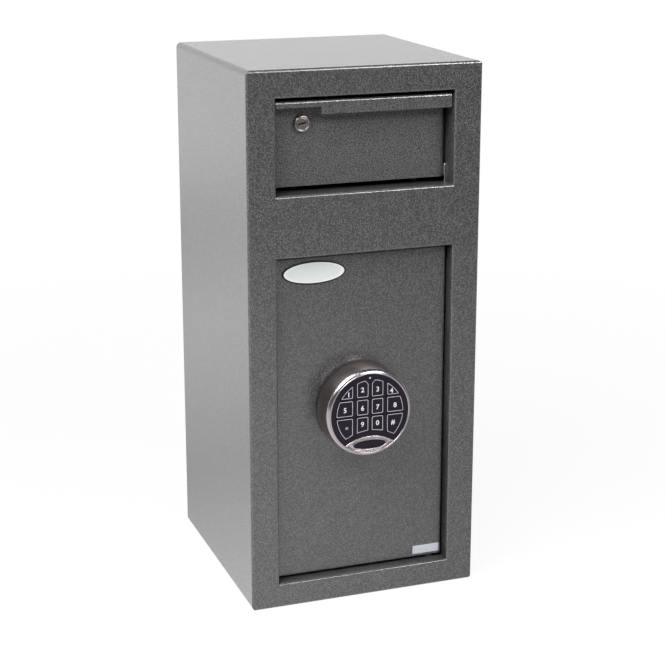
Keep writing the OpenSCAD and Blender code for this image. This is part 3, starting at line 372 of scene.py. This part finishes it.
def dress(node, look):
    for mesh_slot in NODES[node].material_slots:
        mesh_slot.material = MATERIALS[look]


def soften(node, width_mm):
    """Takes the knife edge off a turned CAD form."""
    obj = NODES[node]
    weld = obj.modifiers.new("weld", "WELD")
    weld.merge_threshold = WELD_REACH
    flat = obj.modifiers.new("flat", "DECIMATE")
    flat.decimate_type, flat.angle_limit = "DISSOLVE", math.radians(FLAT_ANGLE)
    edge = obj.modifiers.new("edge", "BEVEL")
    edge.width, edge.segments = width_mm * MM, EDGE_SEGMENTS
    edge.limit_method, edge.angle_limit = "ANGLE", math.radians(EDGE_ANGLE)
    edge.harden_normals = True


for row in frame["record"]["subparts"]:
    dress(row["node"], row["material_slot"])
dress("flap_lock_plug", "plug_nickel")
soften("flap_lock_body", width_mm=0.35)
soften("flap_lock_plug", width_mm=0.25)


# New pieces

def put(name, data, place=(0, 0, 0), turn=(0, 0, 0)):
    """Puts an object with this data in the scene."""
    obj = bpy.data.objects.new(name, data)
    obj.location, obj.rotation_euler = place, turn
    bpy.context.scene.collection.objects.link(obj)
    return obj


def put_piece(name, data, look, body, slot, **where):
    """Puts a piece in its look, riding on its body. The slot is not used."""
    data.materials.append(MATERIALS[look])
    piece = put(name, data, **where)
    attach(piece, body)
    return piece


def make_mesh(name, points, faces):
    """Mesh with its points given in millimetres."""
    mesh = bpy.data.meshes.new(name)
    mesh.from_pydata([tuple(c * MM for c in p) for p in points], [], faces)
    return mesh


def band(a, b, count):
    """Faces between two rings of points, which start at a and b."""
    return [(a + i, a + (i + 1) % count, b + (i + 1) % count, b + i) for i in range(count)]


# Printed outlines and numbers on the keys: text, and its place from the keypad's middle

KEY_TOP = -140.2
PRINT_T = 0.04
DIGITS = {
    "key_1": ("1", -21.5, 20.6), "key_2": ("2", -7.6, 24.0), "key_3": ("3", 7.6, 23.2),
    "key_4": ("4", 21.7, 20.4), "key_5": ("5", -25.1, 5.6), "key_6": ("6", -7.6, 5.8),
    "key_7": ("7", 7.6, 5.6), "key_8": ("8", 25.3, 5.6), "key_star": ("*", -23.4, -13.4),
    "key_9": ("9", -7.6, -10.2), "key_0": ("0", 7.6, -10.2), "key_hash": ("#", 23.4, -11.2)}
DIGIT_H = 4.8
DIGIT_FONT = 1.38
DIGIT_BOLD = 0.12
DIGIT_STEPS = 4
OUTLINE_IN = 0.75
OUTLINE_WIDTH = 0.48
OUTLINE_CORNER = 1.1
OUTLINE_SPACING = 0.25
MICRONS = 1e6
FORWARD = -0.99
LEVEL_SLACK = 0.02
MITRE_LIMIT = 0.35
STRAIGHT = math.radians(160)
CORNER_SHARE = 0.45
CORNER_STEPS = 4


def top_outline(node, level):
    """Points around the face of a node that looks forward at the level, in order, as x and z."""
    mesh = NODES[node].data
    edges = {}
    for face in mesh.polygons:
        if face.normal.y > FORWARD or abs(face.center.y - level * MM) > LEVEL_SLACK * MM:
            continue
        ring = [tuple(round(c * MICRONS) for c in mesh.vertices[i].co) for i in face.vertices]
        for one, two in zip(ring, ring[1:] + ring[:1]):
            if (two, one) in edges:
                del edges[(two, one)]
            else:
                edges[(one, two)] = True
    after = dict(edges.keys())
    start = point = next(iter(after))
    loop = []
    while True:
        loop.append(Vector((point[0] / MICRONS / MM, point[2] / MICRONS / MM)))
        point = after[point]
        if point == start:
            return loop


def thin_out(loop, least):
    """Loop without the points that come closer than the least distance."""
    kept = []
    for point in loop:
        if not kept or (point - kept[-1]).length > least:
            kept.append(point)
    return kept


def inset(loop, amount):
    """Loop moved to its inside by the amount, with mitred corners."""
    area = sum(a.x * b.y - b.x * a.y for a, b in zip(loop, loop[1:] + loop[:1]))
    side = 1 if area > 0 else -1
    moved = []
    for before, point, after in zip(loop[-1:] + loop[:-1], loop, loop[1:] + loop[:1]):
        come = (point - before).normalized()
        go = (after - point).normalized()
        n1 = Vector((-come.y, come.x)) * side
        n2 = Vector((-go.y, go.x)) * side
        moved.append(point + (n1 + n2) / max(MITRE_LIMIT, 1 + n1.dot(n2)) * amount)
    return moved


def round_corners(loop, cut):
    """Replaces each sharp corner by a short curve that starts at the cut."""
    out = []
    for before, point, after in zip(loop[-1:] + loop[:-1], loop, loop[1:] + loop[:1]):
        to, fro = before - point, after - point
        if to.angle(fro) > STRAIGHT:
            out.append(point)
            continue
        a = point + to.normalized() * min(cut, to.length * CORNER_SHARE)
        b = point + fro.normalized() * min(cut, fro.length * CORNER_SHARE)
        for t in (step / CORNER_STEPS for step in range(CORNER_STEPS + 1)):
            out.append(a * (1 - t) ** 2 + point * 2 * t * (1 - t) + b * t ** 2)
    return out


def key_outline(key):
    """Flat closed line that stands on its key."""
    loop = thin_out(top_outline(key, KEY_TOP), OUTLINE_SPACING)
    loop = round_corners(inset(loop, OUTLINE_IN), OUTLINE_CORNER)
    rings = inset(loop, -OUTLINE_WIDTH / 2) + inset(loop, OUTLINE_WIDTH / 2)
    points = [(p.x, y, p.y) for y in (KEY_TOP, KEY_TOP - PRINT_T) for p in rings]
    count = len(loop)
    low_out, low_in, top_out, top_in = (k * count for k in range(4))
    faces = []
    for a, b in ((top_out, top_in), (low_out, top_out), (top_in, low_in), (low_in, low_out)):
        faces += band(a, b, count)
    name = key + "_outline"
    put_piece(name, make_mesh(name, points, faces), "outline_print", key + "_button", "black_face")


def key_number(key, text, u, v):
    """A plain number that lies on its key. The star has no room for a bolder line."""
    name = key + "_number"
    curve = bpy.data.curves.new(name, "FONT")
    curve.body = text
    curve.align_x, curve.align_y = "CENTER", "CENTER"
    curve.size = DIGIT_H * MM * DIGIT_FONT
    curve.offset = 0.0 if text == "*" else DIGIT_BOLD * MM
    curve.extrude = PRINT_T / 2 * MM
    curve.resolution_u = DIGIT_STEPS
    place = ((KEYPAD[0] + u) * MM, (KEY_TOP - PRINT_T / 2) * MM, (KEYPAD[1] + v) * MM)
    put_piece(name, curve, "key_print", key + "_button", "black_face",
              place=place, turn=(math.pi / 2, 0, 0))


for key, (text, u, v) in DIGITS.items():
    key_outline(key)
    key_number(key, text, u, v)


# Crescent trim: a rim along its edge and one round the window, with a shallow valley between.
# The face's circle is its lower edge and the arc its upper one, and v is height above the
# keypad's middle. A rim's pairs are distance from its edge and height above the plate.

FACE_R = 38.9
ARC_V, ARC_R = -65.1, 42.8
WINDOW_V = -30.8
WINDOW_HALF = (16.4, 4.5)
PLATE_LEVEL = -139.6
TRIM_SEAT = 0.3
TRIM_GAP = 0.04
TRIM_RIM = ((0.0, 0.35), (0.1, 0.52), (0.3, 0.66), (0.55, 0.68), (0.85, 0.58), (1.3, 0.36))
TRIM_VALLEY = 0.18
TRIM_VALLEY_WIDTH = 0.4
TRIM_STEPS = 480


def way_out(start, way, centre_v, radius):
    """Distance from a point along a way to a circle on the keypad's middle line."""
    from_centre = start - Vector((0, centre_v))
    b = way.dot(from_centre)
    return -b + math.sqrt(b * b - from_centre.length_squared + radius * radius)


def crescent_trim():
    half_w, half_h = WINDOW_HALF
    rims_width = 2 * TRIM_RIM[-1][0] + TRIM_VALLEY_WIDTH
    points = []
    for step in range(TRIM_STEPS):
        a = 2 * math.pi * step / TRIM_STEPS
        way = Vector((math.cos(a), math.sin(a)))
        size = math.hypot(half_w * way.x, half_h * way.y)
        start = Vector((half_w ** 2 * way.x / size, half_h ** 2 * way.y / size + WINDOW_V))
        across = min(way_out(start, way, 0.0, FACE_R), way_out(start, way, ARC_V, ARC_R)) - TRIM_GAP
        narrow = min(1.0, across / rims_width)
        inner = [(0.0, -TRIM_SEAT)] + [(d * narrow, k) for d, k in TRIM_RIM]
        outer = [(across - d, k) for d, k in reversed(inner)]
        for d, k in inner + [(across / 2, TRIM_VALLEY)] + outer:
            place = start + way * d
            points.append((KEYPAD[0] + place.x, PLATE_LEVEL - k, KEYPAD[1] + place.y))
    rows = len(points) // TRIM_STEPS
    faces = []
    for step in range(TRIM_STEPS):
        faces += band(step * rows, (step + 1) % TRIM_STEPS * rows, rows)
    mesh = make_mesh("crescent_trim", points, faces)
    mesh.shade_smooth()
    piece = put_piece("crescent_trim", mesh, "trim_nickel", "keypad", "gunmetal")
    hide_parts("crescent_bezel")


crescent_trim()


# Closing spring, as one round wire along the CAD spring's path: coil, hairpin and leg. The rod
# is y and z, and the heights are from it.

ROD = (-94.0, 414.0)
WIRE_R = 0.5
WIRE_ROUNDNESS = 3
COIL_R = 4.3
COIL_X = (81.8, 86.8)
COIL_TURNS = 3
COIL_STEPS = 32
HAIRPIN_R = 1.0
HAIRPIN_RISE = 6.5
HAIRPIN_STEPS = 12
LEG_END = -9.2


def closing_spring():
    path = []
    for i in range(COIL_TURNS * COIL_STEPS + 1):
        a = math.pi - 2 * math.pi * i / COIL_STEPS
        x = COIL_X[0] + (COIL_X[1] - COIL_X[0]) * i / (COIL_TURNS * COIL_STEPS)
        path.append((x, COIL_R * math.cos(a), COIL_R * math.sin(a)))
    for i in range(HAIRPIN_STEPS + 1):
        a = math.pi * i / HAIRPIN_STEPS
        path.append((COIL_X[1], -COIL_R - HAIRPIN_R * (1 - math.cos(a)),
                     HAIRPIN_RISE + HAIRPIN_R * math.sin(a)))
    path.append((COIL_X[1], -COIL_R - 2 * HAIRPIN_R, LEG_END))
    curve = bpy.data.curves.new("closing_spring", "CURVE")
    curve.dimensions = "3D"
    curve.bevel_depth, curve.bevel_resolution = WIRE_R * MM, WIRE_ROUNDNESS
    curve.use_fill_caps = True
    spline = curve.splines.new("POLY")
    spline.points.add(len(path) - 1)
    for point, (x, y, z) in zip(spline.points, path):
        point.co = (x * MM, (ROD[0] + y) * MM, (ROD[1] + z) * MM, 1)
    piece = put_piece("closing_spring", curve, "spring_steel", "cabinet", "spring_steel")
    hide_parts("flap_spring")


closing_spring()


# Lens of the small lamp above the keys

LENS_V = 35.0
LENS_R = 0.9
LENS_LEVEL = -139.5
LENS_RISE = 0.5
LENS_TURNS = 24
LENS_RINGS = 5


def lamp_lens():
    """Dome of rings round its top, closed by a flat base."""
    points = [(KEYPAD[0], LENS_LEVEL - LENS_RISE, KEYPAD[1] + LENS_V)]
    for ring in range(1, LENS_RINGS + 1):
        tilt = math.pi / 2 * ring / LENS_RINGS
        for i in range(LENS_TURNS):
            a = 2 * math.pi * i / LENS_TURNS
            points.append((KEYPAD[0] + LENS_R * math.sin(tilt) * math.cos(a),
                           LENS_LEVEL - LENS_RISE * math.cos(tilt),
                           KEYPAD[1] + LENS_V + LENS_R * math.sin(tilt) * math.sin(a)))
    starts = [1 + ring * LENS_TURNS for ring in range(LENS_RINGS)]
    faces = [(0, 1 + (i + 1) % LENS_TURNS, 1 + i) for i in range(LENS_TURNS)]
    for a, b in zip(starts, starts[1:]):
        faces += band(a, b, LENS_TURNS)
    faces.append(tuple(starts[-1] + i for i in range(LENS_TURNS)))
    mesh = make_mesh("lamp_lens", points, faces)
    for face in mesh.polygons:
        face.use_smooth = len(face.vertices) < LENS_TURNS
    put_piece("lamp_lens", mesh, "lens", "keypad", "black_face")


lamp_lens()


# Floor and world, in metres. The share is what camera rays see of plain white near the object,
# where the rest is the lit floor with its shadow. From the start to the end it rises to one.

FLOOR_HALF = 8
FLOOR_DROP = 0.0002
FLOOR_GREY = 0.74, 0.76
FLOOR_MOTTLE = 3
WHITE_SHARE = 0.93
WHITE_START, WHITE_END = 0.5, 1.3

# Mirror rays see a pool on the floor. Its strength along y, over its reach from front to back,
# is times one that goes from left to right along x, skewed by y.
POOL_REACH = 2.2
POOL_ALONG = [(0.0, 0.08), (0.15, 0.32), (0.28, 1.0), (0.38, 0.98), (0.46, 1.03), (0.56, 0.70),
              (0.7, 1.05), (0.87, 0.8), (1.0, 1.28)]
POOL_TOP = 1.3
POOL_SKEW = 0.35
POOL_LEFT, POOL_RIGHT = 1.2, 0.7
POOL_LEFT_X, POOL_RIGHT_X = -0.22, 0.12

# The world's strength to mirror rays, by how far up and how far back they go, and its fill light
SKY_LOW, SKY_HIGH = 0.96, 0.08
SKY_LOW_Z, SKY_HIGH_Z = 0.3, 0.6
SKY_FRONT, SKY_BACK = 0.04, 1.0
SKY_FRONT_Y, SKY_BACK_Y = -0.3, 0.2
SKY_FILL = 0.04


def seen_white(s):
    """Share and strength of plain white: nearly all for camera rays, a soft pool for mirror rays."""
    x, y, _ = s.axes()
    flat = s.add("CombineXYZ", {"X": x, "Y": y})
    away = s.add("VectorMath", {0: flat.outputs["Vector"]}, operation="LENGTH").outputs["Value"]
    plain = s.spread(away, WHITE_SHARE, 1.0, WHITE_START, WHITE_END)
    along = s.ramp(s.spread(y, 0.0, 1.0, -POOL_REACH, POOL_REACH),
                   [(at, strength / POOL_TOP) for at, strength in POOL_ALONG])
    across = s.spread(s.maths("ADD", x, s.maths("MULTIPLY", y, POOL_SKEW)),
                      POOL_LEFT, POOL_RIGHT, POOL_LEFT_X, POOL_RIGHT_X)
    pool = s.maths("MULTIPLY", s.maths("MULTIPLY", along, POOL_TOP), across)
    rays = s.add("LightPath").outputs
    glossy = rays["Is Glossy Ray"]
    camera_ray = s.maths("MAXIMUM", rays["Is Camera Ray"], rays["Is Transmission Ray"])
    share = s.maths("MAXIMUM", s.maths("MULTIPLY", camera_ray, plain), glossy)
    strength = s.maths("ADD", s.maths("SUBTRACT", 1.0, glossy), s.maths("MULTIPLY", glossy, pool))
    return share, strength


def make_floor():
    s = Shader("floor_white", Roughness=0.8, Specular_IOR_Level=0.1)
    s.join(s.mottle(s.noise(FLOOR_MOTTLE), *FLOOR_GREY), "Base Color")
    share, strength = seen_white(s)
    white = s.add("Emission", {"Strength": strength}, Color=(*WHITE, 1))
    blend = s.add("MixShader", {"Fac": share, 1: s.bsdf.outputs["BSDF"],
                                2: white.outputs["Emission"]})
    s.tree.links.new(blend.outputs["Shader"], s.tree.nodes["Material Output"].inputs["Surface"])
    half = FLOOR_HALF
    mesh = bpy.data.meshes.new("floor")
    mesh.from_pydata([(-half, -half, 0), (half, -half, 0), (half, half, 0), (-half, half, 0)],
                     [], [(0, 1, 2, 3)])
    mesh.materials.append(s.material)
    put("floor", mesh, (0, 0, -FLOOR_DROP))


def make_world():
    """White to the camera. Mirror rays see a pale horizon, dimmer overhead and in front."""
    world = bpy.data.worlds.new("studio")
    bpy.context.scene.world = world
    world.use_nodes = True
    world.node_tree.nodes.clear()
    s = Nodes(world.node_tree)
    way = s.add("SeparateXYZ", {"Vector": s.add("TexCoord").outputs["Generated"]}).outputs
    up = s.spread(way["Z"], SKY_LOW, SKY_HIGH, SKY_LOW_Z, SKY_HIGH_Z, "SMOOTHSTEP")
    back = s.spread(way["Y"], SKY_FRONT, SKY_BACK, SKY_FRONT_Y, SKY_BACK_Y, "SMOOTHSTEP")
    rays = s.add("LightPath").outputs
    other = s.mix(rays["Is Glossy Ray"], SKY_FILL, s.maths("MULTIPLY", up, back), kind="FLOAT")
    camera_ray = s.maths("MAXIMUM", rays["Is Camera Ray"], rays["Is Transmission Ray"])
    strength = s.mix(camera_ray, other, 1.0, kind="FLOAT")
    light = s.add("Background", {"Strength": strength}, Color=(*WHITE, 1))
    s.add("OutputWorld", {"Surface": light.outputs["Background"]})


make_floor()
make_world()


# Lamps and camera

LAMP_AIM = (0, -0.12, 0.3)
LAMPS = {
    "high_left": dict(place=(-0.9, -0.75, 1.62), size=(1.2, 1.2), watts=68),
    "front_right": dict(place=(0.70, -1.33, 1.27), size=(0.8, 0.4), watts=22)}


def soft_lamp(name, place, size, watts):
    light = bpy.data.lights.new(name, "AREA")
    light.shape, light.energy = "RECTANGLE", watts
    light.size, light.size_y = size
    aim = Vector(LAMP_AIM) - Vector(place)
    put(name, light, place, aim.to_track_quat("-Z", "Y").to_euler())


for name, lamp in LAMPS.items():
    soft_lamp(name, **lamp)

lens = bpy.data.cameras.new("camera")
lens.lens, lens.sensor_width = CAMERA_LENS, CAMERA_SENSOR
lens.shift_x, lens.shift_y = CAMERA_SHIFT
lens.clip_start, lens.clip_end = CAMERA_CLIP
bpy.context.scene.camera = put("camera", lens, CAMERA_PLACE, (
    math.radians(90 - CAMERA_PITCH), 0, -math.radians(CAMERA_YAW)))
bpy.context.scene.view_settings.view_transform = "Standard"

bpy.context.view_layer.update()
